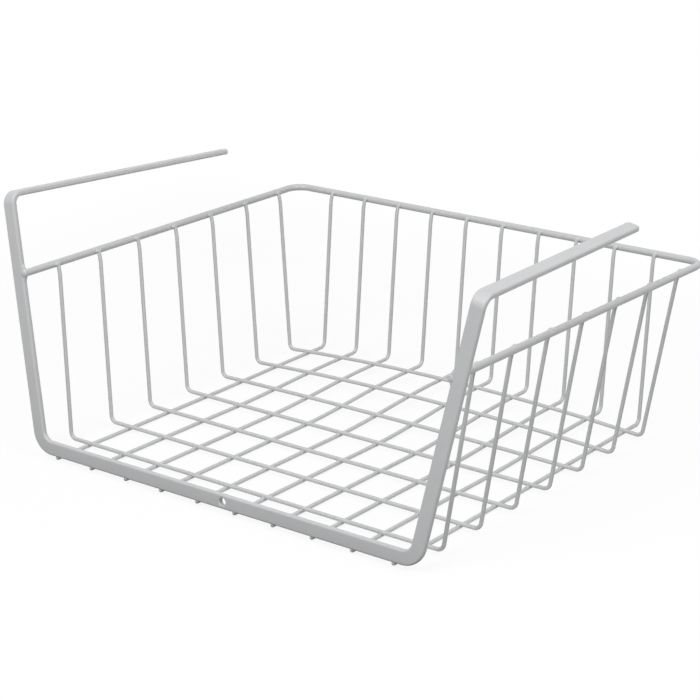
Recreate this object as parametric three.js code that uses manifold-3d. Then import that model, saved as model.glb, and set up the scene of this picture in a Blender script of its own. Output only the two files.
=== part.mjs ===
// Wire basket that hangs under a shelf: a flat-bar front frame whose two arms lie on the shelf,
// a thick rim wire, cross wires bent into a U and floor wires bent into an L, all welded together.
// Millimetres. X runs across the basket, +Y to its back, +Z up.

import * as THREE from 'three';
import { mergeVertices } from 'three/addons/utils/BufferGeometryUtils.js';
import Module from 'manifold-3d';

// Stock
const wireDiameter = 2.8;
const rimDiameter = 5;
const barWidth = 10;
const barThickness = 4;
const barEdgeRadius = 1.5;
const weldGap = 0.3;

// Wire basket
const floorWidth = 315;
const floorWireCount = 10;
const crossWireCount = 7;
const crossWirePitch = 40.5;
const firstCrossWireSetback = 28.5;
const backWallSetback = 23.5;
const rimHeight = 121;
const rimBackFlare = 3.5;
const rimCornerRadius = 12;
const rimWeldDepth = 2;
const wireBendRadius = 5;
const wireTipRise = 0.5;
const floorWireInset = 2;

// Front frame, cross wires and back wall all lean to the back by one angle, in degrees
const wallLean = 4.5;

// The back of the floor is bowed upwards in the middle
const floorCamber = 6;
const levelCrossWires = 4;

// Front frame, with its angles in degrees
const postSplay = 11.2;
const lowerBendRadius = 12;
const armRise = 51.5;
const armBendRadius = 7;
const armLength = 204;
const armToeIn = 4.75;
const armDroop = 1.7;
const armTipCornerRadius = 2.5;
const barHoleDiameter = 5;
const barHoleOffset = 6.5;

// Fineness of the round shapes
const wireSides = 12;
const rimSides = 16;
const holeSides = 24;
const bendStep = THREE.MathUtils.degToRad(15);
const edgeSteps = 4;
const camberPieces = 14;

// Places that follow from the sizes above
const floorHalfWidth = floorWidth / 2;
const floorWirePitch = floorWidth / floorWireCount;
const layerDrop = wireDiameter + weldGap;
const besideRim = (rimDiameter + wireDiameter) / 2 + weldGap;
const wireTipHeight = rimHeight + wireTipRise;
const lastCrossWireY = crossWireY(crossWireCount - 1);
const backFloorY = lastCrossWireY + backWallSetback;

const lean = THREE.MathUtils.degToRad(wallLean);
const splay = THREE.MathUtils.degToRad(postSplay);
const across = new THREE.Vector3(1, 0, 0);
const wallUp = new THREE.Vector3(0, Math.sin(lean), Math.cos(lean));
const wallBack = wallUp.clone().cross(across);
const postDirection = new THREE.Vector3()
  .addScaledVector(across, Math.sin(splay))
  .addScaledVector(wallUp, Math.cos(splay));
const backRimY = backFloorY + leanOver(rimHeight + layerDrop) + besideRim / Math.cos(lean);
const barHalfHeight = (barWidth / 2 - barEdgeRadius) * Math.cos(lean)
  + (barThickness / 2 - barEdgeRadius) * Math.sin(lean) + barEdgeRadius;
const barHeight = -layerDrop + wireDiameter / 2 + weldGap + barHalfHeight;
const lowerCorner = new THREE.Vector3(floorHalfWidth, 0, barHeight);
const upperCorner = pointOnPost(rimHeight + armRise);
const postAtRim = pointOnPost(rimHeight);
const rimFromPost = barWidth / 2 + rimDiameter / 2 - rimWeldDepth;
const rimFrontHalfWidth = postAtRim.x - rimFromPost / Math.cos(splay);
const rimBackHalfWidth = rimFrontHalfWidth + rimBackFlare;
const rimFrontY = postAtRim.y - barThickness / 2 / Math.cos(lean);

/** Distance of a cross wire behind the bottom bar, counted from 0 at the front. */
function crossWireY(index) {
  return firstCrossWireSetback + index * crossWirePitch;
}

/** How far a leaning wall moves to the back over a height. */
function leanOver(height) {
  return height * Math.tan(lean);
}

/** Point on the centre line of the right post at a height above the floor. */
function pointOnPost(height) {
  const along = (height - lowerCorner.z) / postDirection.z;
  return lowerCorner.clone().addScaledVector(postDirection, along);
}

/** Half the rim's width, centre to centre, at a distance behind the bottom bar. */
function rimHalfWidth(y) {
  const share = (y - rimFrontY) / (backRimY - rimFrontY);
  return rimFrontHalfWidth + share * rimBackFlare;
}

/** Height of the floor's bow at a point; it fades out up the walls. */
function floorLift(point) {
  const start = crossWireY(levelCrossWires - 1);
  const backShare = THREE.MathUtils.smoothstep(point.y, start, lastCrossWireY);
  const sideShare = Math.max(0, 1 - (point.x / floorHalfWidth) ** 2);
  const wallShare = 1 - THREE.MathUtils.clamp(point.z / rimHeight, 0, 1);
  return floorCamber * backShare * sideShare * wallShare;
}

/** Path of a bar or wire through the bending bench: stations with a point, a tangent and a width direction. */
class BentPath extends THREE.Curve {
  constructor(point, tangent, width) {
    super();
    this.stations = [{ point: point.clone(), tangent: tangent.clone(), width: width.clone() }];
  }

  /** Path through corner points, each corner rounded to one radius and each run in its number of pieces. */
  static throughCorners(corners, radius, width, pieces) {
    const towards = (from, to) => to.clone().sub(from).normalize();
    const path = new BentPath(corners[0], towards(corners[0], corners[1]), width);
    for (let i = 1; i < corners.length - 1; i += 1) {
      const before = path.end.tangent;
      const after = towards(corners[i], corners[i + 1]);
      const angle = before.angleTo(after);
      const axis = before.clone().cross(after).normalize();
      path.straightTo(corners[i], radius * Math.tan(angle / 2), pieces[i - 1]);
      path.bend(axis, angle, radius);
    }
    return path.straightTo(corners.at(-1), 0, pieces.at(-1));
  }

  get end() {
    return this.stations.at(-1);
  }

  /** Straight run that stops short of a point, in equal pieces. */
  straightTo(point, shortBy = 0, pieces = 1) {
    const { point: start, tangent, width } = this.end;
    const length = start.distanceTo(point) - shortBy;
    for (let i = 1; i <= pieces; i += 1) {
      const place = start.clone().addScaledVector(tangent, length * i / pieces);
      this.stations.push({ point: place, tangent: tangent.clone(), width: width.clone() });
    }
    return this;
  }

  /** Bend about an axis square to the path, with an even twist about the path on the way. */
  bend(axis, angle, radius, twist = 0) {
    const { point: start, tangent, width } = this.end;
    const inward = axis.clone().cross(tangent);
    const steps = Math.max(2, Math.ceil(angle / bendStep));
    for (let i = 1; i <= steps; i += 1) {
      const turned = angle * i / steps;
      const place = start.clone()
        .addScaledVector(tangent, radius * Math.sin(turned))
        .addScaledVector(inward, radius * (1 - Math.cos(turned)));
      const twisted = width.clone().applyAxisAngle(tangent, twist * i / steps);
      this.stations.push({
        point: place,
        tangent: tangent.clone().applyAxisAngle(axis, turned),
        width: twisted.applyAxisAngle(axis, turned),
      });
    }
    return this;
  }

  /** Raise every station by the floor's bow and tilt its tangent to match. */
  liftWithFloor() {
    const probe = 0.01;
    for (const { point, tangent } of this.stations) {
      const ahead = floorLift(point.clone().addScaledVector(tangent, probe));
      const behind = floorLift(point.clone().addScaledVector(tangent, -probe));
      point.z += floorLift(point);
      tangent.z += (ahead - behind) / (2 * probe);
      tangent.normalize();
    }
    return this;
  }

  /** Whole path of a piece that is symmetric about the middle plane, from the right half just bent. */
  mirrored() {
    const flip = new THREE.Vector3(-1, 1, 1);
    const leftHalf = this.stations.slice(1).reverse().map(({ point, tangent, width }) => ({
      point: point.clone().multiply(flip),
      tangent: tangent.clone().multiply(flip).negate(),
      width: width.clone().multiply(flip),
    }));
    this.stations = [...leftHalf, ...this.stations];
    return this;
  }

  getSpacedPoints() {
    return this.stations.map((station) => station.point);
  }

  computeFrenetFrames() {
    const tangents = this.stations.map((station) => station.tangent);
    const normals = this.stations.map((station) => station.width);
    const binormals = tangents.map((tangent, i) => tangent.clone().cross(normals[i]).normalize());
    return { tangents, normals, binormals };
  }

  /** Solid made by drawing a section along the path. */
  sweep(section) {
    return weldSeams(new THREE.ExtrudeGeometry(section, { steps: this.stations.length - 1, extrudePath: this }));
  }
}

/** Closed geometry whose faces share their corners. */
function weldSeams(geometry) {
  geometry.deleteAttribute('normal');
  geometry.deleteAttribute('uv');
  return mergeVertices(geometry, 1e-5);
}

/** Round section as a polygon. */
function roundSection(diameter, sides) {
  const corners = Array.from({ length: sides }, (_, i) => {
    const angle = 2 * Math.PI * i / sides;
    return new THREE.Vector2(Math.cos(angle), Math.sin(angle)).multiplyScalar(diameter / 2);
  });
  return new THREE.Shape(corners);
}

/** Flat-bar section with rounded edges, grown all round; its width lies along the path's width direction. */
function barSection(growth = 0) {
  const edgeRadius = barEdgeRadius + growth;
  const x = barWidth / 2 - barEdgeRadius;
  const y = barThickness / 2 - barEdgeRadius;
  const outline = [];
  [[x, y], [-x, y], [-x, -y], [x, -y]].forEach(([cornerX, cornerY], quarter) => {
    for (let i = 0; i <= edgeSteps; i += 1) {
      const angle = Math.PI / 2 * (quarter + i / edgeSteps);
      const edge = new THREE.Vector2(Math.cos(angle), Math.sin(angle)).multiplyScalar(edgeRadius);
      outline.push(edge.add(new THREE.Vector2(cornerX, cornerY)));
    }
  });
  return new THREE.Shape(outline);
}

const wasm = await Module();
wasm.setup();

/** Solid for cutting, from a closed geometry. */
function toSolid(geometry) {
  const closed = geometry.index && !geometry.attributes.uv ? geometry : weldSeams(geometry);
  return new wasm.Manifold(new wasm.Mesh({
    numProp: 3,
    vertProperties: new Float32Array(closed.attributes.position.array),
    triVerts: new Uint32Array(closed.index.array),
  }));
}

/** Geometry of a cut solid. */
function toGeometry(solid) {
  const { vertProperties, triVerts } = solid.getMesh();
  const geometry = new THREE.BufferGeometry();
  geometry.setAttribute('position', new THREE.BufferAttribute(vertProperties, 3));
  geometry.setIndex(new THREE.BufferAttribute(triVerts, 1));
  return geometry;
}

/** Right half of the frame's path, from the middle of the bottom bar to the arm's tip. */
function frontFramePath() {
  const middle = new THREE.Vector3(0, 0, barHeight);
  const path = new BentPath(middle, across, wallUp);
  const frameFace = wallBack.clone().negate();
  const lowerAngle = across.angleTo(postDirection);
  path.straightTo(lowerCorner, lowerBendRadius * Math.tan(lowerAngle / 2));
  path.bend(frameFace, lowerAngle, lowerBendRadius);

  const toeIn = THREE.MathUtils.degToRad(armToeIn);
  const droop = THREE.MathUtils.degToRad(armDroop);
  const armDirection = new THREE.Vector3(
    -Math.sin(toeIn) * Math.cos(droop),
    Math.cos(toeIn) * Math.cos(droop),
    -Math.sin(droop),
  );
  const armAngle = postDirection.angleTo(armDirection);
  const bendAxis = postDirection.clone().cross(armDirection).normalize();
  const postWidth = path.end.width;
  const armTwist = Math.atan2(postWidth.clone().cross(bendAxis).dot(postDirection), postWidth.dot(bendAxis));
  path.straightTo(upperCorner, armBendRadius * Math.tan(armAngle / 2));
  path.bend(bendAxis, armAngle, armBendRadius, armTwist);
  return path.straightTo(upperCorner.clone().addScaledVector(armDirection, armLength));
}

/** Tool that rounds one corner of an arm's tip; side is 1 or -1 across the bar. */
function tipCornerTool({ point, tangent, width }, side) {
  const margin = 1;
  const edge = barWidth / 2;
  const start = edge - armTipCornerRadius;
  const outline = new THREE.Shape();
  outline.moveTo(-armTipCornerRadius, edge + margin);
  outline.lineTo(-armTipCornerRadius, edge);
  outline.absarc(-armTipCornerRadius, start, armTipCornerRadius, Math.PI / 2, 0, true);
  outline.lineTo(margin, start);
  outline.lineTo(margin, edge + margin);
  const depth = barThickness + 2 * margin;
  const tool = new THREE.ExtrudeGeometry(outline, { depth, bevelEnabled: false, curveSegments: 6 });
  tool.translate(0, 0, -depth / 2);
  const sideways = width.clone().multiplyScalar(side);
  const through = tangent.clone().cross(sideways);
  tool.applyMatrix4(new THREE.Matrix4().makeBasis(tangent, sideways, through).setPosition(point));
  return toSolid(tool);
}

/** Front frame: the bent flat bar with its hole and rounded arm tips. */
function frontFrame() {
  const path = frontFramePath().mirrored();
  let solid = toSolid(path.sweep(barSection()));
  const hole = new THREE.CylinderGeometry(barHoleDiameter / 2, barHoleDiameter / 2, 2 * barThickness, holeSides);
  hole.rotateX(lean);
  hole.translate(barHoleOffset, 0, barHeight);
  solid = solid.subtract(toSolid(hole));
  const rightTip = path.end;
  const leftTip = { ...path.stations[0], tangent: path.stations[0].tangent.clone().negate() };
  for (const tip of [leftTip, rightTip]) {
    for (const side of [-1, 1]) {
      solid = solid.subtract(tipCornerTool(tip, side));
    }
  }
  return toGeometry(solid);
}

/** Tool that lets a rim end into a post's inner edge, with room for the weld; side is 1 or -1. */
function postTool(side) {
  const mirror = new THREE.Vector3(side, 1, 1);
  const postWidth = wallBack.clone().cross(postDirection).multiply(mirror);
  const below = pointOnPost(rimHeight - rimDiameter).multiply(mirror);
  const above = pointOnPost(rimHeight + rimDiameter).multiply(mirror);
  const path = new BentPath(below, postDirection.clone().multiply(mirror), postWidth).straightTo(above);
  return toSolid(path.sweep(barSection(weldGap)));
}

/** Rim: from the right post round the back to the left post. */
function rimWire() {
  const corners = [
    new THREE.Vector3(rimFrontHalfWidth, rimFrontY, rimHeight),
    new THREE.Vector3(rimBackHalfWidth, backRimY, rimHeight),
    new THREE.Vector3(-rimBackHalfWidth, backRimY, rimHeight),
    new THREE.Vector3(-rimFrontHalfWidth, rimFrontY, rimHeight),
  ];
  const upright = new THREE.Vector3(0, 0, 1);
  const wire = BentPath.throughCorners(corners, rimCornerRadius, upright, [1, 1, 1])
    .sweep(roundSection(rimDiameter, rimSides));
  return toGeometry(toSolid(wire).subtract(postTool(-1)).subtract(postTool(1)));
}

/** Cross wire: down the left wall, across the floor and up the right wall. */
function crossWire(index) {
  const y = crossWireY(index);
  const halfWidthAtRim = rimHalfWidth(y + leanOver(rimHeight)) - besideRim;
  const wallSlope = (halfWidthAtRim - floorHalfWidth) / rimHeight;
  const tipX = floorHalfWidth + wallSlope * wireTipHeight;
  const tipY = y + leanOver(wireTipHeight);
  const corners = [
    new THREE.Vector3(-tipX, tipY, wireTipHeight),
    new THREE.Vector3(-floorHalfWidth, y, 0),
    new THREE.Vector3(floorHalfWidth, y, 0),
    new THREE.Vector3(tipX, tipY, wireTipHeight),
  ];
  const floorPieces = index < levelCrossWires ? 1 : camberPieces;
  return BentPath.throughCorners(corners, wireBendRadius, wallBack, [1, floorPieces, 1])
    .liftWithFloor()
    .sweep(roundSection(wireDiameter, wireSides));
}

/** Floor wire: down the back wall and forward along the floor, under the bottom bar. */
function floorWire(index) {
  const x = (index - (floorWireCount - 1) / 2) * floorWirePitch;
  const corners = [
    new THREE.Vector3(x, backFloorY + leanOver(wireTipHeight + layerDrop), wireTipHeight),
    new THREE.Vector3(x, backFloorY, -layerDrop),
    new THREE.Vector3(x, floorWireInset - barThickness / 2, -layerDrop),
  ];
  return BentPath.throughCorners(corners, wireBendRadius, across, [1, camberPieces])
    .liftWithFloor()
    .sweep(roundSection(wireDiameter, wireSides));
}

/** Painted light grey steel. */
function paintedSteel() {
  return new THREE.MeshStandardMaterial({ color: 0xb9bbbc, roughness: 0.5, metalness: 0.1 });
}

const basket = new THREE.Group();
basket.name = 'under_shelf_basket';

/** Put one named piece into the basket. */
function addPiece(name, geometry) {
  const piece = new THREE.Mesh(geometry, paintedSteel());
  piece.name = name;
  basket.add(piece);
}

addPiece('front_frame', frontFrame());
addPiece('rim_wire', rimWire());
for (let i = 0; i < crossWireCount; i += 1) {
  addPiece(`cross_wire_${i + 1}`, crossWire(i));
}
for (let i = 0; i < floorWireCount; i += 1) {
  addPiece(`floor_wire_${i + 1}`, floorWire(i));
}

// The origin is the middle of the underside of the whole basket
const extent = new THREE.Box3().setFromObject(basket);
const middle = extent.getCenter(new THREE.Vector3());
for (const piece of basket.children) {
  piece.geometry.translate(-middle.x, -middle.y, -extent.min.z);
  piece.geometry.computeVertexNormals();
}

export default basket;
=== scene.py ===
"""Looks of a welded wire basket that hangs under a shelf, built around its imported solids.

Sizes are in millimetres and angles in degrees, in a design frame: X runs across the basket, Y to
its back from the middle of the bottom bar, and Z up from the middle of the cross wires on the
floor. A finished mesh is moved into the frame of the solids, which is in metres.
"""

import logging
import math
from dataclasses import dataclass
from enum import Enum

import bmesh
import bpy
from mathutils import Matrix, Vector


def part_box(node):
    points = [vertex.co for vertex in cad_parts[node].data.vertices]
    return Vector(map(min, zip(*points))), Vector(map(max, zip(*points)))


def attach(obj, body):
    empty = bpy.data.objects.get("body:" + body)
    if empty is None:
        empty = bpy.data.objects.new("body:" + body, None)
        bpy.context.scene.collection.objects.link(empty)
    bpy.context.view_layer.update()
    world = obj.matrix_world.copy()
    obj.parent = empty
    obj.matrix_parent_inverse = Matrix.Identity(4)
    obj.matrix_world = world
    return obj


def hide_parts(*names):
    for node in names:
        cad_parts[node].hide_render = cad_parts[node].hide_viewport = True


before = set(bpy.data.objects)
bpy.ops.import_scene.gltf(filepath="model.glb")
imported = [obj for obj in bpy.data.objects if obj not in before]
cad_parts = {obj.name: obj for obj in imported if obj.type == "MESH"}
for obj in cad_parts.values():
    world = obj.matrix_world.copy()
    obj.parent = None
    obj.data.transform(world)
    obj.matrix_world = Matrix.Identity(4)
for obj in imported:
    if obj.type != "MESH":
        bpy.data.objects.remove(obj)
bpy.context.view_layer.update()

LOG = logging.getLogger("basket")
MM = 0.001
BODY = "root"
ACROSS = Vector((1, 0, 0))
UPRIGHT = Vector((0, 0, 1))
WHITE = (1.0, 1.0, 1.0, 1.0)
MERGE_DISTANCE = 0.001
FLAT_TOLERANCE = 0.01

# A bound box lists its lowest corner first and its highest seventh
LOWEST_CORNER = 0
HIGHEST_CORNER = 6

# Numbers of the sockets that a Mix node has for colours, because their names aren't unique
MIX_SHARE = 0
MIX_FIRST = 6
MIX_SECOND = 7
MIX_COLOUR = 2

# Half sizes of a weld bead in its seat: across, to the back and up
Bead = tuple[float, float, float]


class Fineness(Enum):
    """How finely shapes are drawn: sides of a section, steps along a curve, or levels of a bead."""

    WIRE_SIDES = 20
    RIM_SIDES = 32
    EDGE_STEPS = 8
    HOLE_SIDES = 48
    BOW_PIECES = 40
    WALL_PIECES = 30
    TIP_STEPS = 10
    CUT_STEPS = 4
    BEAD_LEVEL = 3
    STEPS_PER_RIGHT_ANGLE = 18
    LEAST_BEND_STEPS = 2


@dataclass(frozen=True)
class Layout:
    """Sizes that several sub-assemblies share."""

    wire_diameter: float = 2.8
    rim_diameter: float = 5.0
    weld_gap: float = 0.3
    floor_width: float = 315.0
    floor_wire_count: int = 10
    cross_wire_count: int = 7
    cross_wire_pitch: float = 40.5
    first_cross_wire_setback: float = 28.5
    back_wall_setback: float = 23.5
    rim_height: float = 121.0
    wall_lean: float = 4.5

    @property
    def lean(self) -> float:
        """Lean of the front frame and the walls to the back, in radians."""
        return math.radians(self.wall_lean)

    @property
    def wall_up(self) -> Vector:
        """Direction up a leaning wall."""
        return Vector((0, math.sin(self.lean), math.cos(self.lean)))

    @property
    def wall_back(self) -> Vector:
        """Direction square to a leaning wall, to the back."""
        return self.wall_up.cross(ACROSS)

    @property
    def floor_half_width(self) -> float:
        """Distance of a side wall's foot from the middle plane."""
        return self.floor_width / 2

    @property
    def layer_drop(self) -> float:
        """How far the floor wires lie below the cross wires, middle to middle."""
        return self.wire_diameter + self.weld_gap

    @property
    def beside_rim(self) -> float:
        """Distance of a wire that is welded beside the rim from the rim, middle to middle."""
        return (self.rim_diameter + self.wire_diameter) / 2 + self.weld_gap

    @property
    def back_floor_y(self) -> float:
        """Place of the back wall's foot."""
        return self.cross_wire_y(self.cross_wire_count - 1) + self.back_wall_setback

    def cross_wire_y(self, index: int) -> float:
        """Place of a cross wire on the floor, counted from 0 at the front."""
        return self.first_cross_wire_setback + index * self.cross_wire_pitch

    def floor_wire_x(self, index: int) -> float:
        """Place of a floor wire, counted from 0 at the left."""
        pitch = self.floor_width / self.floor_wire_count
        return (index - (self.floor_wire_count - 1) / 2) * pitch

    def lean_over(self, height: float) -> float:
        """How far a leaning wall moves to the back over a height."""
        return height * math.tan(self.lean)

    def to_frame(self) -> Matrix:
        """Work out where the design frame lies among the solids.

        Returns:
            The matrix that takes a design point in millimetres to the frame of the solids.
        """
        wire_radius = self.wire_diameter / 2
        first_wire_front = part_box("cross_wire_1")[0].y / MM
        floor_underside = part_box("floor_wire_1")[0].z / MM
        shift = Vector((
            0,
            first_wire_front + wire_radius - self.first_cross_wire_setback,
            floor_underside + wire_radius + self.layer_drop,
        ))
        return Matrix.Scale(MM, 4) @ Matrix.Translation(shift)


class BendingBench:
    """Forms one bar or wire: its section is fed forward and bent, and leaves the piece behind it."""

    def __init__(self, start: Vector, heading: Vector, width: Vector) -> None:
        """Set the bench to the start of a path.

        Args:
            start: Middle of the first section.
            heading: Direction in which the stock is fed.
            width: Direction of the section's first axis, square to the heading.
        """
        self.mesh = bmesh.new()
        self.point = start.copy()
        self.heading = heading.normalized()
        self.width = width.normalized()
        self.start_cap: bmesh.types.BMFace | None = None
        self.end_cap: bmesh.types.BMFace | None = None

    def seat(self) -> Matrix:
        """Matrix of the section plane: X along the width and Z along the heading."""
        columns = (self.width, self.heading.cross(self.width), self.heading)
        return Matrix.Translation(self.point) @ Matrix(columns).transposed().to_4x4()

    def load_round(self, diameter: float, sides: int) -> None:
        """Load round wire of a diameter, drawn with a number of sides."""
        bmesh.ops.create_circle(
            self.mesh, cap_ends=True, radius=diameter / 2, segments=sides, matrix=self.seat()
        )
        self._grip_start()

    def load_flat(self, width: float, thickness: float, edge_radius: float) -> None:
        """Load flat bar.

        Args:
            width: Width of the bar.
            thickness: Thickness of the bar.
            edge_radius: Radius of its rolled edges.
        """
        flat = self.seat() @ Matrix.Diagonal((width / 2, thickness / 2, 1, 1))
        bmesh.ops.create_grid(self.mesh, x_segments=1, y_segments=1, size=1, matrix=flat)
        bmesh.ops.bevel(
            self.mesh,
            geom=list(self.mesh.verts),
            offset=edge_radius,
            offset_type="OFFSET",
            affect="VERTICES",
            segments=Fineness.EDGE_STEPS.value,
            profile=0.5,
            material=-1,
        )
        self._grip_start()

    def feed(self, length: float, pieces: int = 1) -> None:
        """Feed a straight length.

        Args:
            length: Length to feed.
            pieces: Number of equal pieces, so that a long run can be bowed later.
        """
        step = self.heading * (length / pieces)
        self._draw(self.point, UPRIGHT, step, 0.0, pieces)
        self.point += step * pieces

    def feed_to(self, corner: Vector, short_by: float = 0.0, pieces: int = 1) -> None:
        """Feed towards a point ahead.

        Args:
            corner: Point on the heading.
            short_by: Distance to stop before the point.
            pieces: Number of equal pieces.
        """
        self.feed((corner - self.point).dot(self.heading) - short_by, pieces)

    def bend(self, axis: Vector, angle: float, radius: float, twist: float = 0.0) -> None:
        """Bend the stock about an axis that is square to the heading.

        Args:
            axis: Axis of the bend, right-handed.
            angle: Angle of the bend, in radians.
            radius: Radius of the bend at the middle of the stock.
            twist: Twist about the stock's own length, shared evenly over the bend, in radians.
        """
        centre = self.point + axis.cross(self.heading) * radius
        right_angles = angle / (math.pi / 2)
        steps = math.ceil(right_angles * Fineness.STEPS_PER_RIGHT_ANGLE.value)
        steps = max(Fineness.LEAST_BEND_STEPS.value, steps)
        turn = Matrix.Rotation(angle / steps, 3, axis)
        for _ in range(steps):
            self._draw(centre, axis, Vector(), angle / steps, 1)
            self.point = centre + turn @ (self.point - centre)
            self.heading = turn @ self.heading
            twist_step = Matrix.Rotation(twist / steps, 3, self.heading)
            self.width = twist_step @ (turn @ self.width)
            bmesh.ops.rotate(
                self.mesh, cent=self.point, matrix=twist_step, verts=list(self.end_cap.verts)
            )

    def follow(self, corners: list[Vector], radius: float, pieces: list[int]) -> None:
        """Run through the corners of a path from its second point on.

        Args:
            corners: The path's points; the bench already stands at the first.
            radius: Radius of the bend at each corner between the ends.
            pieces: Number of pieces of each straight run.
        """
        for corner, following, count in zip(corners[1:-1], corners[2:], pieces[:-1]):
            after = (following - corner).normalized()
            angle = self.heading.angle(after)
            axis = self.heading.cross(after).normalized()
            self.feed_to(corner, radius * math.tan(angle / 2), count)
            self.bend(axis, angle, radius)
        self.feed_to(corners[-1], pieces=pieces[-1])

    def narrow(self, width_share: float, thickness_share: float) -> None:
        """Narrow the section at the end to shares of its width and of its thickness."""
        seat = self.seat()
        squeeze = seat @ Matrix.Diagonal((width_share, thickness_share, 1, 1)) @ seat.inverted()
        bmesh.ops.transform(self.mesh, matrix=squeeze, verts=list(self.end_cap.verts))

    def soften_cuts(self, radius: float) -> None:
        """Round the rims of the cut ends, as the coat does, to a radius."""
        caps = [cap for cap in (self.start_cap, self.end_cap) if cap is not None and cap.is_valid]
        soften(self.mesh, [edge for cap in caps for edge in cap.edges], radius)

    def _grip_start(self) -> None:
        """Take the section just loaded as both ends of the piece."""
        self.mesh.faces.ensure_lookup_table()
        self.start_cap = self.end_cap = self.mesh.faces[0]

    def _draw(self, centre: Vector, axis: Vector, step: Vector, turn: float, count: int) -> None:
        """Draw the end section on.

        Args:
            centre: Centre of the turn.
            axis: Axis of the turn.
            step: Move of each step.
            turn: Angle of all steps together, in radians.
            count: Number of steps.
        """
        cap = self.end_cap
        drawn = bmesh.ops.spin(
            self.mesh,
            geom=[cap, *cap.edges, *cap.verts],
            cent=centre,
            axis=axis,
            dvec=step,
            angle=turn,
            steps=count,
            use_merge=False,
            use_duplicate=False,
        )
        faces = (item for item in drawn["geom_last"] if isinstance(item, bmesh.types.BMFace))
        self.end_cap = next(faces)


def soften(mesh: bmesh.types.BMesh, edges: list[bmesh.types.BMEdge], radius: float) -> None:
    """Round edges of a mesh, as a thick coat does.

    Args:
        mesh: Mesh that is changed.
        edges: Its edges to round.
        radius: Radius of the rounding.
    """
    bmesh.ops.bevel(
        mesh,
        geom=edges,
        offset=radius,
        offset_type="OFFSET",
        affect="EDGES",
        segments=Fineness.CUT_STEPS.value,
        profile=0.5,
        material=-1,
    )


def linear_colour(hex_code: str) -> tuple[float, float, float, float]:
    """Turn an sRGB hex code into a linear colour.

    Args:
        hex_code: Six hex digits after a hash sign.

    Returns:
        Linear red, green, blue and an alpha of 1.
    """
    linear = []
    for place in (1, 3, 5):
        share = int(hex_code[place:place + 2], 16) / 255
        # The curve of the sRGB standard, which is straight near black
        if share <= 0.04045:
            linear.append(share / 12.92)
        else:
            linear.append(((share + 0.055) / 1.055) ** 2.4)
    return (*linear, 1.0)


def add_node(
    tree: bpy.types.NodeTree, kind: str, inputs: dict[str | int, object], **settings: object
) -> bpy.types.Node:
    """Add a node with its settings and links.

    Args:
        tree: Node tree that gets the node.
        kind: Type name of the node.
        inputs: Value or source socket of each input, by the input's name or number.
        **settings: Properties of the node.

    Returns:
        The new node.
    """
    node = tree.nodes.new(kind)
    for name, value in settings.items():
        setattr(node, name, value)
    for name, value in inputs.items():
        if isinstance(value, bpy.types.NodeSocket):
            tree.links.new(value, node.inputs[name])
        else:
            node.inputs[name].default_value = value
    return node


def per_metre(size: float) -> float:
    """Scale of a pattern whose features are a size in millimetres, on coordinates in metres."""
    return 1 / (size * MM)


def held(share: float) -> float:
    """Share, held between 0 and 1."""
    return min(max(share, 0.0), 1.0)


def eased(share: float) -> float:
    """Share, held between 0 and 1, that starts and ends gently."""
    kept = held(share)
    return kept * kept * (3 - 2 * kept)


@dataclass(frozen=True)
class PowderCoat:
    """Light grey epoxy powder baked onto steel.

    The melted powder gives a satin sheen with shallow orange peel, faint clouds of tone where the
    film is thicker, and a slightly uneven gloss.
    """

    name: str = "satin grey powder-coated steel"
    thin_film: str = "#bdbebf"
    thick_film: str = "#c5c6c7"
    least_roughness: float = 0.34
    most_roughness: float = 0.42
    film_index: float = 1.5
    cloud: float = 22.0
    cloud_detail: float = 3.0
    gloss_patch: float = 14.0
    gloss_detail: float = 2.0
    gloss_noise_range: tuple[float, float] = (0.3, 0.7)
    # Real orange peel is about half as wide; it is drawn coarser so that it shows
    orange_peel: float = 1.6
    peel_detail: float = 1.0
    peel_depth: float = 0.03
    peel_strength: float = 0.5

    def material(self) -> bpy.types.Material:
        """Make the material.

        Returns:
            A material whose patterns follow Object coordinates.
        """
        made = bpy.data.materials.new(self.name)
        made.use_nodes = True
        tree = made.node_tree
        tree.nodes.clear()
        place = add_node(tree, "ShaderNodeTexCoord", {}).outputs["Object"]
        noises = []
        for size, detail in (
            (self.cloud, self.cloud_detail),
            (self.gloss_patch, self.gloss_detail),
            (self.orange_peel, self.peel_detail),
        ):
            inputs = {"Vector": place, "Scale": per_metre(size), "Detail": detail}
            noises.append(add_node(tree, "ShaderNodeTexNoise", inputs).outputs[0])
        clouds, patches, peel = noises
        tone = add_node(
            tree,
            "ShaderNodeMix",
            {
                MIX_SHARE: clouds,
                MIX_FIRST: linear_colour(self.thin_film),
                MIX_SECOND: linear_colour(self.thick_film),
            },
            data_type="RGBA",
        )
        low_noise, high_noise = self.gloss_noise_range
        gloss = add_node(
            tree,
            "ShaderNodeMapRange",
            {
                "Value": patches,
                "From Min": low_noise,
                "From Max": high_noise,
                "To Min": self.least_roughness,
                "To Max": self.most_roughness,
            },
        )
        surface = add_node(
            tree,
            "ShaderNodeBump",
            {"Strength": self.peel_strength, "Distance": self.peel_depth * MM, "Height": peel},
        )
        coat = add_node(
            tree,
            "ShaderNodeBsdfPrincipled",
            {
                "Base Color": tone.outputs[MIX_COLOUR],
                "Roughness": gloss.outputs[0],
                "IOR": self.film_index,
                "Normal": surface.outputs[0],
            },
        )
        add_node(tree, "ShaderNodeOutputMaterial", {"Surface": coat.outputs[0]})
        return made


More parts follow.
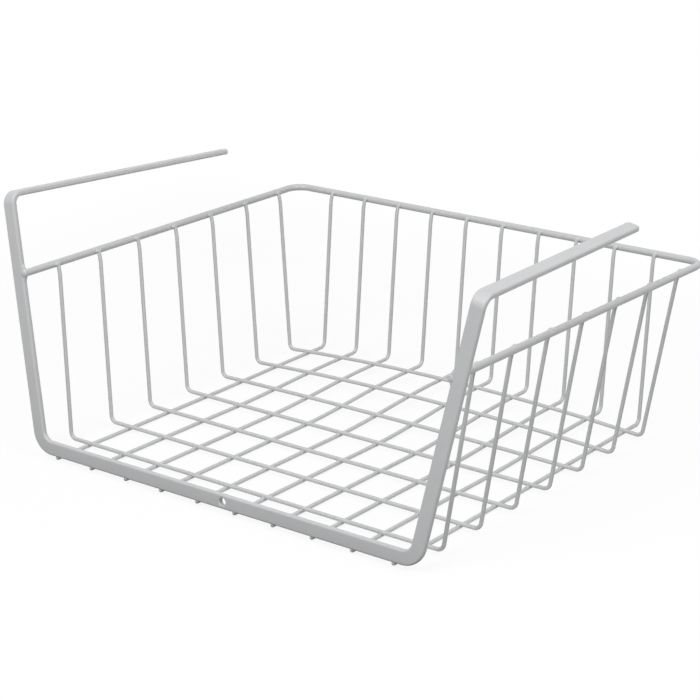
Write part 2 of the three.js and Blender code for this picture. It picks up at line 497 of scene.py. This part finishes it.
def finish_piece(
    name: str,
    mesh: bmesh.types.BMesh,
    seat: Matrix,
    material: bpy.types.Material,
    node: str | None = None,
) -> bpy.types.Object:
    """Turn a mesh in design millimetres into a finished piece among the solids.

    Args:
        name: Name of the piece.
        mesh: Its mesh, which is used up.
        seat: Matrix from the design frame to the frame of the solids.
        material: Its finish.
        node: Solid that it stands for, or None.

    Returns:
        The piece, riding on the basket.
    """
    bmesh.ops.recalc_face_normals(mesh, faces=mesh.faces)
    bmesh.ops.transform(mesh, matrix=seat, verts=mesh.verts)
    data = bpy.data.meshes.new(name)
    mesh.to_mesh(data)
    mesh.free()
    data.shade_smooth()
    data.materials.append(material)
    piece = bpy.data.objects.new(name, data)
    bpy.context.scene.collection.objects.link(piece)
    even = piece.modifiers.new("even shading of flats", "WEIGHTED_NORMAL")
    even.mode = "FACE_AREA"
    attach(piece, BODY)
    off = "no solid of its own"
    if node is not None:
        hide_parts(node)
        corners = [Vector(piece.bound_box[index]) for index in (LOWEST_CORNER, HIGHEST_CORNER)]
        gaps = [(corner - solid).length for corner, solid in zip(corners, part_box(node))]
        off = f"{max(gaps) / MM:.2f} mm off its solid's corners"
    LOG.info("%s: %d faces, %s", name, len(data.polygons), off)
    return piece


@dataclass(frozen=True)
class FrontFrame:
    """Flat bar bent into the open front, with its two arms that lie on the shelf."""

    layout: Layout
    bar_width: float = 10.0
    bar_thickness: float = 4.0
    edge_radius: float = 1.5
    post_splay: float = 11.2
    lower_bend_radius: float = 12.0
    arm_rise: float = 51.5
    arm_bend_radius: float = 7.0
    arm_length: float = 204.0
    arm_toe_in: float = 4.75
    arm_droop: float = 1.7
    tip_corner_radius: float = 2.5
    hole_diameter: float = 5.0
    hole_offset: float = 6.5
    hole_rim_radius: float = 0.9
    cut_radius: float = 0.8

    @property
    def splay(self) -> float:
        """Outward splay of the posts, in radians."""
        return math.radians(self.post_splay)

    @property
    def post_direction(self) -> Vector:
        """Direction up the right post."""
        return ACROSS * math.sin(self.splay) + self.layout.wall_up * math.cos(self.splay)

    @property
    def arm_direction(self) -> Vector:
        """Direction along the right arm to its tip."""
        toe_in = math.radians(self.arm_toe_in)
        droop = math.radians(self.arm_droop)
        return Vector((
            -math.sin(toe_in) * math.cos(droop),
            math.cos(toe_in) * math.cos(droop),
            -math.sin(droop),
        ))

    @property
    def bar_height(self) -> float:
        """Height of the middle of the bottom bar, which rests on the floor wires."""
        layout = self.layout
        reach = (
            (self.bar_width / 2 - self.edge_radius) * math.cos(layout.lean)
            + (self.bar_thickness / 2 - self.edge_radius) * math.sin(layout.lean)
            + self.edge_radius
        )
        return -layout.layer_drop + layout.wire_diameter / 2 + layout.weld_gap + reach

    @property
    def lower_corner(self) -> Vector:
        """Point where the bottom bar and the right post would meet unbent."""
        return Vector((self.layout.floor_half_width, 0, self.bar_height))

    def point_on_post(self, height: float) -> Vector:
        """Point on the middle of the right post at a height."""
        along = (height - self.bar_height) / self.post_direction.z
        return self.lower_corner + self.post_direction * along

    def build(self, seat: Matrix, material: bpy.types.Material) -> bpy.types.Object:
        """Bend the right half, mirror it and drill the hole.

        Args:
            seat: Matrix from the design frame to the frame of the solids.
            material: Finish of the bar.

        Returns:
            The finished frame.
        """
        bench = self._bend_right_half()
        mesh = bench.mesh
        bmesh.ops.delete(mesh, geom=[bench.start_cap], context="FACES_ONLY")
        everything = [*mesh.verts, *mesh.edges, *mesh.faces]
        bmesh.ops.mirror(
            mesh,
            geom=everything,
            matrix=Matrix.Identity(4),
            merge_dist=MERGE_DISTANCE,
            axis="X",
        )
        bmesh.ops.recalc_face_normals(mesh, faces=mesh.faces)
        self._drill_hole(mesh)
        return finish_piece("bent_front_frame", mesh, seat, material, "front_frame")

    def _bend_right_half(self) -> BendingBench:
        """Bend the bar from the middle of the bottom to the tip of the right arm.

        Returns:
            The bench with the half frame on it.
        """
        layout = self.layout
        bench = BendingBench(Vector((0, 0, self.bar_height)), ACROSS, layout.wall_up)
        bench.load_flat(self.bar_width, self.bar_thickness, self.edge_radius)
        lower_angle = ACROSS.angle(self.post_direction)
        bench.feed_to(self.lower_corner, self.lower_bend_radius * math.tan(lower_angle / 2))
        bench.bend(-layout.wall_back, lower_angle, self.lower_bend_radius)

        arm_angle = self.post_direction.angle(self.arm_direction)
        axis = self.post_direction.cross(self.arm_direction).normalized()
        upper_corner = self.point_on_post(layout.rim_height + self.arm_rise)
        twist = math.atan2(bench.width.cross(axis).dot(bench.heading), bench.width.dot(axis))
        bench.feed_to(upper_corner, self.arm_bend_radius * math.tan(arm_angle / 2))
        bench.bend(axis, arm_angle, self.arm_bend_radius, twist)
        bench.feed_to(upper_corner + self.arm_direction * self.arm_length, self.tip_corner_radius)
        self._round_tip(bench)
        return bench

    def _round_tip(self, bench: BendingBench) -> None:
        """Round both corners of the arm's tip on the bench, and soften its cut face."""
        steps = Fineness.TIP_STEPS.value
        radius = self.tip_corner_radius
        soft = self.cut_radius
        advance = 0.0
        half_width = self.bar_width / 2
        half_thickness = self.bar_thickness / 2
        for step in range(1, steps + 1):
            angle = math.pi / 2 * step / steps
            further = radius * math.sin(angle)
            narrower = self.bar_width / 2 - radius * (1 - math.cos(angle))
            into_cut = max(0.0, further - (radius - soft))
            thinner = self.bar_thickness / 2 - soft + math.sqrt(soft ** 2 - into_cut ** 2)
            bench.feed(further - advance)
            bench.narrow(narrower / half_width, thinner / half_thickness)
            advance = further
            half_width = narrower
            half_thickness = thinner

    def _drill_hole(self, mesh: bmesh.types.BMesh) -> None:
        """Drill the hole through the flats of the bottom bar and round its two rims."""
        middle = Vector((self.hole_offset, 0, self.bar_height))
        through = self.layout.wall_back
        turn = UPRIGHT.rotation_difference(through).to_matrix().to_4x4()
        half_thickness = self.bar_thickness / 2
        rims = []
        for side in (-1, 1):
            face_point = middle + through * (side * half_thickness)
            flat = self._face_at(mesh, face_point)
            outline = list(flat.edges)
            bmesh.ops.delete(mesh, geom=[flat], context="FACES_ONLY")
            ring = bmesh.ops.create_circle(
                mesh,
                cap_ends=False,
                radius=self.hole_diameter / 2,
                segments=Fineness.HOLE_SIDES.value,
                matrix=Matrix.Translation(face_point) @ turn,
            )
            rim = list(dict.fromkeys(edge for vert in ring["verts"] for edge in vert.link_edges))
            bmesh.ops.triangle_fill(mesh, use_beauty=True, use_dissolve=False, edges=outline + rim)
            rims += rim
        bmesh.ops.bridge_loops(mesh, edges=rims)
        bmesh.ops.recalc_face_normals(mesh, faces=mesh.faces)
        soften(mesh, rims, self.hole_rim_radius)

    @staticmethod
    def _face_at(mesh: bmesh.types.BMesh, point: Vector) -> bmesh.types.BMFace:
        """Find the flat face that a point lies on.

        Args:
            mesh: Mesh of the bar.
            point: Point on one of its flats.

        Returns:
            The widest face whose plane and outline hold the point.
        """
        near = [
            face
            for face in mesh.faces
            if abs((point - face.verts[0].co).dot(face.normal)) < FLAT_TOLERANCE
            and bmesh.geometry.intersect_face_point(face, point)
        ]
        return max(near, key=lambda face: face.calc_area())


@dataclass(frozen=True)
class RimWire:
    """Thick wire round the mouth, from post to post."""

    layout: Layout
    front_frame: FrontFrame
    back_flare: float = 3.5
    corner_radius: float = 12.0
    weld_depth: float = 2.0
    cut_radius: float = 0.9

    @property
    def post_point(self) -> Vector:
        """Point on the middle of the right post at the rim's height."""
        return self.front_frame.point_on_post(self.layout.rim_height)

    @property
    def front_y(self) -> float:
        """Place of the rim's cut ends, level with the posts' front."""
        return self.post_point.y - self.front_frame.bar_thickness / 2 / math.cos(self.layout.lean)

    @property
    def back_y(self) -> float:
        """Place of the rim's back run, behind the back wall's wires."""
        layout = self.layout
        lean_back = layout.lean_over(layout.rim_height + layout.layer_drop)
        return layout.back_floor_y + lean_back + layout.beside_rim / math.cos(layout.lean)

    @property
    def front_half_width(self) -> float:
        """Half the rim's width at the posts."""
        from_post = self.front_frame.bar_width / 2 + self.layout.rim_diameter / 2 - self.weld_depth
        return self.post_point.x - from_post / math.cos(self.front_frame.splay)

    def half_width(self, y: float) -> float:
        """Half the rim's width at a distance behind the bottom bar."""
        share = (y - self.front_y) / (self.back_y - self.front_y)
        return self.front_half_width + share * self.back_flare

    def build(self, seat: Matrix, material: bpy.types.Material) -> bpy.types.Object:
        """Bend the rim.

        Args:
            seat: Matrix from the design frame to the frame of the solids.
            material: Finish of the wire.

        Returns:
            The finished rim.
        """
        height = self.layout.rim_height
        front, back = self.front_half_width, self.half_width(self.back_y)
        corners = [
            Vector((front, self.front_y, height)),
            Vector((back, self.back_y, height)),
            Vector((-back, self.back_y, height)),
            Vector((-front, self.front_y, height)),
        ]
        bench = BendingBench(corners[0], corners[1] - corners[0], UPRIGHT)
        bench.load_round(self.layout.rim_diameter, Fineness.RIM_SIDES.value)
        bench.follow(corners, self.corner_radius, [1] * (len(corners) - 1))
        bench.soften_cuts(self.cut_radius)
        return finish_piece("bent_rim_wire", bench.mesh, seat, material, "rim_wire")


@dataclass(frozen=True)
class WireCage:
    """Cross wires bent into a U and floor wires bent into an L."""

    layout: Layout
    rim: RimWire
    bend_radius: float = 5.0
    tip_rise: float = 0.5
    cut_radius: float = 1.0
    floor_camber: float = 6.0
    level_cross_wires: int = 4
    rim_weld_press: float = 1.1
    floor_weld_press: float = 0.8
    bar_weld_press: float = 0.4
    press_length: float = 7.0

    @property
    def tip_height(self) -> float:
        """Height of the wires' upper ends."""
        return self.layout.rim_height + self.tip_rise

    @property
    def floor_front_y(self) -> float:
        """Place of the floor wires' front ends, level with the bottom bar's front."""
        return -self.rim.front_frame.bar_thickness / 2

    @property
    def floor_wire_drop(self) -> float:
        """How far the floor wires lie below the cross wires, into which the welds press them."""
        return self.layout.layer_drop - self.floor_weld_press

    def floor_lift(self, point: Vector) -> float:
        """Work out the height of the floor's bow at a point.

        Args:
            point: Point on a wire before the bow.

        Returns:
            Rise of that point; it fades out to the sides, to the front and up the walls.
        """
        layout = self.layout
        start = layout.cross_wire_y(self.level_cross_wires - 1)
        end = layout.cross_wire_y(layout.cross_wire_count - 1)
        back_share = eased((point.y - start) / (end - start))
        side_share = max(0.0, 1 - (point.x / layout.floor_half_width) ** 2)
        wall_share = 1 - held(point.z / layout.rim_height)
        return self.floor_camber * back_share * side_share * wall_share

    def press_share(self, distance: float) -> float:
        """Share of a weld's press that is left at a distance from a wire's end."""
        return eased(1 - distance / self.press_length)

    def sink(self, point: Vector, outward: Vector) -> Vector:
        """Work out how far the weld has pressed a wire's upper end into the rim at a point.

        Args:
            point: Point on the wire.
            outward: Direction from the wire to the rim.

        Returns:
            Move of that point; it fades out below the rim.
        """
        return outward * (self.rim_weld_press * self.press_share(self.tip_height - point.z))

    def build(self, seat: Matrix, material: bpy.types.Material) -> list[bpy.types.Object]:
        """Bend all the wires.

        Args:
            seat: Matrix from the design frame to the frame of the solids.
            material: Finish of the wires.

        Returns:
            The finished cross wires and floor wires.
        """
        made = []
        for kind, count, bend in (
            ("cross_wire", self.layout.cross_wire_count, self._cross_wire),
            ("floor_wire", self.layout.floor_wire_count, self._floor_wire),
        ):
            for index in range(count):
                node = f"{kind}_{index + 1}"
                made.append(finish_piece(f"bent_{node}", bend(index), seat, material, node))
        return made

    def wall_x(self, index: int, height: float) -> float:
        """Distance of a cross wire's wall from the middle plane at a height above the floor."""
        layout = self.layout
        y_at_rim = layout.cross_wire_y(index) + layout.lean_over(layout.rim_height)
        at_rim = self.rim.half_width(y_at_rim) - layout.beside_rim
        widening = at_rim - layout.floor_half_width
        return layout.floor_half_width + widening * height / layout.rim_height

    def _cross_wire(self, index: int) -> bmesh.types.BMesh:
        """Bend one cross wire: down the left wall, across the floor and up the right wall."""
        layout = self.layout
        y = layout.cross_wire_y(index)
        foot = layout.floor_half_width
        tip_x = self.wall_x(index, self.tip_height)
        tip_y = y + layout.lean_over(self.tip_height)
        corners = [
            Vector((-tip_x, tip_y, self.tip_height)),
            Vector((-foot, y, 0)),
            Vector((foot, y, 0)),
            Vector((tip_x, tip_y, self.tip_height)),
        ]
        runs = [Fineness.WALL_PIECES, Fineness.BOW_PIECES, Fineness.WALL_PIECES]
        mesh = self._bend_wire(corners, layout.wall_back, runs)
        for vert in mesh.verts:
            vert.co += self.sink(vert.co, ACROSS * math.copysign(1, vert.co.x))
        return mesh

    def _floor_wire(self, index: int) -> bmesh.types.BMesh:
        """Bend one floor wire: down the back wall and forward under the bottom bar."""
        layout = self.layout
        x = layout.floor_wire_x(index)
        back = layout.back_floor_y
        drop = self.floor_wire_drop
        corners = [
            Vector((x, back + layout.lean_over(self.tip_height + drop), self.tip_height)),
            Vector((x, back, -drop)),
            Vector((x, self.floor_front_y, -drop)),
        ]
        mesh = self._bend_wire(corners, ACROSS, [Fineness.WALL_PIECES, Fineness.BOW_PIECES])
        for vert in mesh.verts:
            vert.co += self.sink(vert.co, layout.wall_back)
            vert.co.z += self.bar_weld_press * self.press_share(vert.co.y - self.floor_front_y)
        return mesh

    def _bend_wire(
        self, corners: list[Vector], width: Vector, runs: list[Fineness]
    ) -> bmesh.types.BMesh:
        """Bend a wire and bow it with the floor.

        Args:
            corners: Points of its path.
            width: Direction square to its bends.
            runs: Fineness of each straight run.

        Returns:
            The wire's mesh.
        """
        bench = BendingBench(corners[0], corners[1] - corners[0], width)
        bench.load_round(self.layout.wire_diameter, Fineness.WIRE_SIDES.value)
        bench.follow(corners, self.bend_radius, [run.value for run in runs])
        bench.soften_cuts(self.cut_radius)
        for vert in bench.mesh.verts:
            vert.co.z += self.floor_lift(vert.co)
        return bench.mesh


@dataclass(frozen=True)
class Welds:
    """Beads of squeezed-out metal at the welds, under the same coat."""

    layout: Layout
    front_frame: FrontFrame
    rim: RimWire
    cage: WireCage
    crossing_bead: Bead = (2.1, 2.1, 0.95)
    side_rim_bead: Bead = (1.7, 2.9, 1.7)
    back_rim_bead: Bead = (2.3, 1.4, 1.6)
    rim_bead_rise: float = 0.2
    bar_bead: Bead = (1.7, 1.7, 0.9)
    post_bead: Bead = (3.1, 2.4, 3.3)
    post_bead_shift: float = 0.4
    post_fillet: Bead = (2.5, 1.9, 6.4)
    post_fillet_shift: float = 1.2

    def build(self, seat: Matrix, material: bpy.types.Material) -> list[bpy.types.Object]:
        """Lay all the beads.

        Args:
            seat: Matrix from the design frame to the frame of the solids.
            material: Finish of the beads.

        Returns:
            One piece for the beads of each kind of weld.
        """
        groups = {
            "welds_of_floor_grid": (self._crossings(), self.crossing_bead),
            "welds_on_side_rims": (self._side_rim_tips(), self.side_rim_bead),
            "welds_on_back_rim": (self._back_rim_tips(), self.back_rim_bead),
            "welds_under_bottom_bar": (self._bar_ends(), self.bar_bead),
            "welds_of_rim_to_posts": (self._post_seats(self.post_bead_shift), self.post_bead),
            "fillets_of_rim_to_posts": (self._post_seats(self.post_fillet_shift), self.post_fillet),
        }
        made = []
        for name, (places, bead) in groups.items():
            mesh = bmesh.new()
            for place in places:
                bmesh.ops.create_icosphere(
                    mesh,
                    subdivisions=Fineness.BEAD_LEVEL.value,
                    radius=1,
                    matrix=place @ Matrix.Diagonal((*bead, 1)),
                )
            made.append(finish_piece(name, mesh, seat, material))
        return made

    def _crossings(self) -> list[Matrix]:
        """Places between the cross wires and the floor wires under them."""
        layout = self.layout
        places = []
        for row in range(layout.cross_wire_count):
            for column in range(layout.floor_wire_count):
                point = Vector((layout.floor_wire_x(column), layout.cross_wire_y(row), 0))
                point.z = self.cage.floor_lift(point) - self.cage.floor_wire_drop / 2
                places.append(Matrix.Translation(point))
        return places

    def _side_rim_tips(self) -> list[Matrix]:
        """Places between the cross wires' ends and the rim."""
        layout = self.layout
        places = []
        for index in range(layout.cross_wire_count):
            y = layout.cross_wire_y(index) + layout.lean_over(layout.rim_height)
            x = self.rim.half_width(y) - (layout.rim_diameter + layout.weld_gap) / 2
            z = layout.rim_height + self.rim_bead_rise
            places += [Matrix.Translation((side * x, y, z)) for side in (-1, 1)]
        return places

    def _back_rim_tips(self) -> list[Matrix]:
        """Places between the floor wires' upper ends and the rim."""
        layout = self.layout
        y = self.rim.back_y - (layout.rim_diameter + layout.weld_gap) / 2
        z = layout.rim_height + self.rim_bead_rise
        return [
            Matrix.Translation((layout.floor_wire_x(index), y, z))
            for index in range(layout.floor_wire_count)
        ]

    def _bar_ends(self) -> list[Matrix]:
        """Places between the bottom bar and the floor wires under it."""
        layout = self.layout
        z = layout.wire_diameter / 2 - self.cage.floor_wire_drop
        return [
            Matrix.Translation((layout.floor_wire_x(index), 0, z))
            for index in range(layout.floor_wire_count)
        ]

    def _post_seats(self, outward: float) -> list[Matrix]:
        """Find the places between the rim's ends and the posts' inner edges.

        Args:
            outward: Distance from the rim's middle towards the post.

        Returns:
            Places with Z turned along the posts.
        """
        rim = self.rim
        turn = self.front_frame.splay
        places = []
        for side in (-1, 1):
            x = side * (rim.front_half_width + outward)
            point = Vector((x, rim.post_point.y, self.layout.rim_height))
            places.append(Matrix.Translation(point) @ Matrix.Rotation(side * turn, 4, "Y"))
        return places


@dataclass(frozen=True)
class Softbox:
    """Large square lamp that looks at the basket from a direction, with its power in watts."""

    name: str
    azimuth: float
    elevation: float
    power: float
    distance: float = 2200.0
    size: float = 1000.0


@dataclass(frozen=True)
class Studio:
    """Pale floor, soft light and the photograph's viewing angle.

    The floor is seen as white paper. The light that it throws back is that of a pale card under the
    basket, then a dark strip round the card, which is painted contact shadow, then grey round that,
    which is painted shade round the basket, and a pale room further out. Each edge gives where a
    tone begins to change and where it has changed, before and behind the basket's middle. To the
    sides the same edges lie further out, because the distance counts only by the side share there.
    """

    camera_azimuth: float = 37.23
    camera_elevation: float = 18.77
    camera_distance: float = 1413.4
    aim: tuple[float, float, float] = (-1.9, -10.1, 69.7)
    lens: float = 105.9
    floor_size: float = 12000.0
    floor_colour: str = "#f4f4f4"
    # The dark strip is painted contact shadow and the grey beyond it is painted shade, in the light
    # that the floor throws back
    card_bounce: str = "#d8d8d8"
    painted_contact_shadow_bounce: str = "#101010"
    painted_shade_bounce: str = "#929292"
    room_bounce: str = "#c8c8c8"
    card_edge: tuple[float, float] = (148.0, 157.0)
    contact_shadow_edge: tuple[float, float] = (162.0, 172.0)
    painted_shade_edge: tuple[float, float] = (300.0, 600.0)
    side_share: float = 0.85
    floor_glow: float = 0.88
    horizon_strength: float = 0.30
    sky_strength: float = 0.48
    haze_top: float = 35.0
    softboxes: tuple[Softbox, ...] = (
        Softbox("front softbox", azimuth=5.0, elevation=48.0, power=24.5),
        Softbox("right softbox", azimuth=85.0, elevation=50.0, power=14.0),
    )

    def build(self) -> None:
        """Set up the floor, the light and the camera."""
        scene = bpy.context.scene
        scene.view_settings.view_transform = "Standard"
        self._floor()
        self._sky(scene)
        for softbox in self.softboxes:
            self._hang(softbox, scene)
        self._camera(scene)
        LOG.info("studio is set")

    def _floor(self) -> None:
        """Lay the floor, on which the basket's shadow falls."""
        mesh = bmesh.new()
        bmesh.ops.create_grid(mesh, x_segments=1, y_segments=1, size=self.floor_size * MM / 2)
        data = bpy.data.meshes.new("studio_floor")
        mesh.to_mesh(data)
        mesh.free()
        data.materials.append(self._paper())
        floor = bpy.data.objects.new("studio_floor", data)
        bpy.context.scene.collection.objects.link(floor)

    def _paper(self) -> bpy.types.Material:
        """Make the floor's paper.

        Returns:
            A material that is seen as white with the basket's shadow on it.
        """
        made = bpy.data.materials.new("white studio paper")
        made.use_nodes = True
        tree = made.node_tree
        tree.nodes.clear()
        reach = self._reach(tree)
        # The light that the floor throws back carries painted contact shadow and painted shade round
        # the basket
        bounce = add_node(tree, "ShaderNodeBsdfDiffuse", {"Color": self._bounce_tone(tree, reach)})
        sheet = add_node(tree, "ShaderNodeBsdfDiffuse", {"Color": linear_colour(self.floor_colour)})
        glow = add_node(tree, "ShaderNodeEmission", {"Strength": 1.0})
        # Away from the basket's shadow the paper is plain white
        start, stop = self.painted_shade_edge
        glow_share = add_node(
            tree,
            "ShaderNodeMapRange",
            {
                "Value": reach,
                "From Min": start * MM,
                "From Max": stop * MM,
                "To Min": self.floor_glow,
            },
            interpolation_type="SMOOTHSTEP",
        )
        white = add_node(
            tree,
            "ShaderNodeMixShader",
            {0: glow_share.outputs[0], 1: sheet.outputs[0], 2: glow.outputs[0]},
        )
        shown = self._part_rays(tree, white.outputs[0], bounce.outputs[0])
        add_node(tree, "ShaderNodeOutputMaterial", {"Surface": shown})
        return made

    def _reach(self, tree: bpy.types.NodeTree) -> bpy.types.NodeSocket:
        """Measure how far a point of the floor lies from the basket's middle.

        Args:
            tree: Node tree that gets the nodes.

        Returns:
            A socket with the larger of its distances in metres: that to the side, times the side
            share, or that to the front or back.
        """
        place = add_node(tree, "ShaderNodeTexCoord", {})
        squeezed = add_node(
            tree,
            "ShaderNodeVectorMath",
            {0: place.outputs["Object"], 1: (self.side_share, 1, 1)},
            operation="MULTIPLY",
        )
        spread = add_node(
            tree, "ShaderNodeVectorMath", {0: squeezed.outputs["Vector"]}, operation="ABSOLUTE"
        )
        sides = add_node(tree, "ShaderNodeSeparateXYZ", {0: spread.outputs["Vector"]})
        reach = add_node(
            tree,
            "ShaderNodeMath",
            {0: sides.outputs["X"], 1: sides.outputs["Y"]},
            operation="MAXIMUM",
        )
        return reach.outputs["Value"]

    def _bounce_tone(
        self, tree: bpy.types.NodeTree, reach: bpy.types.NodeSocket
    ) -> bpy.types.NodeSocket:
        """Colour the light that the floor throws back, from the card outwards, with painted shade
        round the basket.

        Args:
            tree: Node tree that gets the nodes.
            reach: Distance from the basket's middle.

        Returns:
            A socket with the colour.
        """
        tone = linear_colour(self.card_bounce)
        # The dark strip is painted contact shadow, and the grey after it is painted shade round the
        # basket
        for (start, stop), colour in (
            (self.card_edge, self.painted_contact_shadow_bounce),
            (self.contact_shadow_edge, self.painted_shade_bounce),
            (self.painted_shade_edge, self.room_bounce),
        ):
            share = add_node(
                tree,
                "ShaderNodeMapRange",
                {"Value": reach, "From Min": start * MM, "From Max": stop * MM},
                interpolation_type="SMOOTHSTEP",
            )
            mixed = add_node(
                tree,
                "ShaderNodeMix",
                {MIX_SHARE: share.outputs[0], MIX_FIRST: tone, MIX_SECOND: linear_colour(colour)},
                data_type="RGBA",
            )
            tone = mixed.outputs[MIX_COLOUR]
        return tone

    def _sky(self, scene: bpy.types.Scene) -> None:
        """Set a sky that is seen as white, and gives its light mostly from above."""
        world = bpy.data.worlds.new("studio sky")
        world.use_nodes = True
        tree = world.node_tree
        tree.nodes.clear()
        direction = add_node(tree, "ShaderNodeTexCoord", {})
        height = add_node(tree, "ShaderNodeSeparateXYZ", {0: direction.outputs["Generated"]})
        strength = add_node(
            tree,
            "ShaderNodeMapRange",
            {
                "Value": height.outputs["Z"],
                "From Max": math.sin(math.radians(self.haze_top)),
                "To Min": self.horizon_strength,
                "To Max": self.sky_strength,
            },
            interpolation_type="SMOOTHSTEP",
        )
        light = add_node(
            tree, "ShaderNodeBackground", {"Color": WHITE, "Strength": strength.outputs[0]}
        )
        white = add_node(tree, "ShaderNodeBackground", {"Color": WHITE, "Strength": 1.0})
        shown = self._part_rays(tree, white.outputs[0], light.outputs[0])
        add_node(tree, "ShaderNodeOutputWorld", {"Surface": shown})
        scene.world = world

    @staticmethod
    def _part_rays(
        tree: bpy.types.NodeTree, seen: bpy.types.NodeSocket, lighting: bpy.types.NodeSocket
    ) -> bpy.types.NodeSocket:
        """Give one shader to the rays that see a surface and another to the rays that light.

        Args:
            tree: Node tree that gets the nodes.
            seen: Shader for camera, glossy and transmission rays.
            lighting: Shader for all other rays.

        Returns:
            A socket with the shader that each ray gets.
        """
        path = add_node(tree, "ShaderNodeLightPath", {})
        mirrored = add_node(
            tree,
            "ShaderNodeMath",
            {0: path.outputs["Is Glossy Ray"], 1: path.outputs["Is Transmission Ray"]},
            operation="MAXIMUM",
        )
        seeing = add_node(
            tree,
            "ShaderNodeMath",
            {0: path.outputs["Is Camera Ray"], 1: mirrored.outputs[0]},
            operation="MAXIMUM",
        )
        shown = add_node(
            tree, "ShaderNodeMixShader", {0: seeing.outputs[0], 1: lighting, 2: seen}
        )
        return shown.outputs[0]

    def _hang(self, softbox: Softbox, scene: bpy.types.Scene) -> None:
        """Hang a softbox in a scene."""
        data = bpy.data.lights.new(softbox.name, "AREA")
        data.size = softbox.size * MM
        data.energy = softbox.power
        lamp = bpy.data.objects.new(softbox.name, data)
        self._stand(lamp, softbox.azimuth, softbox.elevation, softbox.distance)
        scene.collection.objects.link(lamp)

    def _camera(self, scene: bpy.types.Scene) -> None:
        """Stand the camera where the photograph was taken from."""
        data = bpy.data.cameras.new("camera")
        data.lens = self.lens
        camera = bpy.data.objects.new("camera", data)
        self._stand(camera, self.camera_azimuth, self.camera_elevation, self.camera_distance)
        scene.collection.objects.link(camera)
        scene.camera = camera

    def _stand(
        self, thing: bpy.types.Object, azimuth: float, elevation: float, distance: float
    ) -> None:
        """Stand a camera or lamp so that it looks at the aim point.

        Args:
            thing: Camera or lamp.
            azimuth: Angle from the front towards the right, in degrees.
            elevation: Angle above the horizontal, in degrees.
            distance: Distance from the aim point, in millimetres.
        """
        turn = math.radians(azimuth)
        rise = math.radians(elevation)
        back = Vector((
            math.sin(turn) * math.cos(rise),
            -math.cos(turn) * math.cos(rise),
            math.sin(rise),
        ))
        thing.location = (Vector(self.aim) + back * distance) * MM
        thing.rotation_euler = back.to_track_quat("Z", "Y").to_euler()


def main() -> None:
    """Build the basket piece by piece and set up the studio."""
    logging.basicConfig(level=logging.INFO, format="%(name)s: %(message)s")
    layout = Layout()
    seat = layout.to_frame()
    coat = PowderCoat().material()
    front_frame = FrontFrame(layout)
    rim = RimWire(layout, front_frame)
    cage = WireCage(layout, rim)
    Studio().build()
    pieces = [
        front_frame.build(seat, coat),
        rim.build(seat, coat),
        *cage.build(seat, coat),
        *Welds(layout, front_frame, rim, cage).build(seat, coat),
    ]
    LOG.info("%d pieces in all", len(pieces))


if __name__ == "__main__":
    main()
